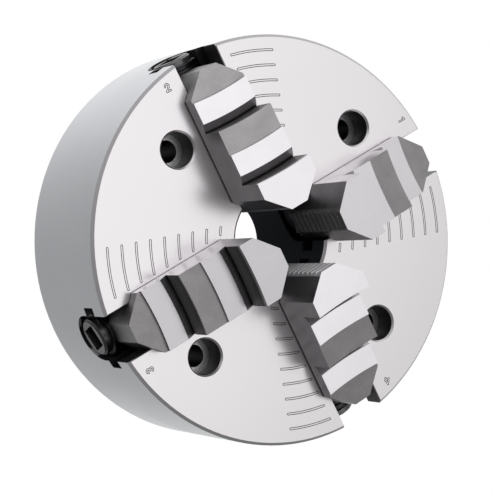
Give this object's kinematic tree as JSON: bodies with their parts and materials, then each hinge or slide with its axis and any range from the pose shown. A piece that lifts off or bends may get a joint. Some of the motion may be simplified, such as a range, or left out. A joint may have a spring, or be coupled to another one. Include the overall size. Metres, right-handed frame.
{
  "type": "lathe chuck",
  "caption": "Independent lathe chuck: a round slotted steel body with stepped reversible-style jaws, each moved along its slot by its own square-socket screw.",
  "frame": {"origin": "centre of the back mounting face", "axes": "+Z along the chuck's axis, out of its front face; +X along jaw 1, +Y along jaw 2"},
  "size_m": [0.2, 0.2, 0.1045],
  "materials": {
    "body_steel": "ground and turned steel",
    "jaw_steel": "hardened, lands ground bright",
    "black_oxide": "black oxide",
    "spring_steel": "blackened spring steel"
  },
  "bodies": {
    "body": {"chuck_body": "body_steel", "thrust_block_1": "black_oxide", "block_plug_1": "body_steel", "snap_ring_1": "spring_steel", "thrust_block_2": "black_oxide", "block_plug_2": "body_steel", "snap_ring_2": "spring_steel", "thrust_block_3": "black_oxide", "block_plug_3": "body_steel", "snap_ring_3": "spring_steel", "thrust_block_4": "black_oxide", "block_plug_4": "body_steel", "snap_ring_4": "spring_steel"},
    "jaw_1": {"jaw_1": "jaw_steel"},
    "screw_1": {"operating_screw_1": "black_oxide"},
    "jaw_2": {"jaw_2": "jaw_steel"},
    "screw_2": {"operating_screw_2": "black_oxide"},
    "jaw_3": {"jaw_3": "jaw_steel"},
    "screw_3": {"operating_screw_3": "black_oxide"},
    "jaw_4": {"jaw_4": "jaw_steel"},
    "screw_4": {"operating_screw_4": "black_oxide"}
  },
  "joints": [
    {"name": "screw_1_turn", "type": "hinge", "parent": "body", "child": "screw_1", "pos_m": [0.08, 0, 0.046], "axis": [1, 0, 0], "range_deg": [-1450, 2890]},
    {"name": "jaw_1_slide", "type": "slide", "parent": "body", "child": "jaw_1", "axis": [1, 0, 0], "range_m": [-0.012, 0.024]},
    {"name": "screw_2_turn", "type": "hinge", "parent": "body", "child": "screw_2", "pos_m": [0, 0.08, 0.046], "axis": [0, 1, 0], "range_deg": [-1450, 2890]},
    {"name": "jaw_2_slide", "type": "slide", "parent": "body", "child": "jaw_2", "axis": [0, 1, 0], "range_m": [-0.012, 0.024]},
    {"name": "screw_3_turn", "type": "hinge", "parent": "body", "child": "screw_3", "pos_m": [-0.08, 0, 0.046], "axis": [-1, 0, 0], "range_deg": [-1630, 2890]},
    {"name": "jaw_3_slide", "type": "slide", "parent": "body", "child": "jaw_3", "axis": [-1, 0, 0], "range_m": [-0.0135, 0.024]},
    {"name": "screw_4_turn", "type": "hinge", "parent": "body", "child": "screw_4", "pos_m": [0, -0.08, 0.046], "axis": [0, -1, 0], "range_deg": [-1180, 2890]},
    {"name": "jaw_4_slide", "type": "slide", "parent": "body", "child": "jaw_4", "axis": [0, -1, 0], "range_m": [-0.00975, 0.024]}
  ],
  "couplings": [
    {"joint": "screw_1_turn", "follows": "jaw_1_slide", "rad_per_m": 2094.4},
    {"joint": "screw_2_turn", "follows": "jaw_2_slide", "rad_per_m": 2094.4},
    {"joint": "screw_3_turn", "follows": "jaw_3_slide", "rad_per_m": 2094.4},
    {"joint": "screw_4_turn", "follows": "jaw_4_slide", "rad_per_m": 2094.4}
  ]
}
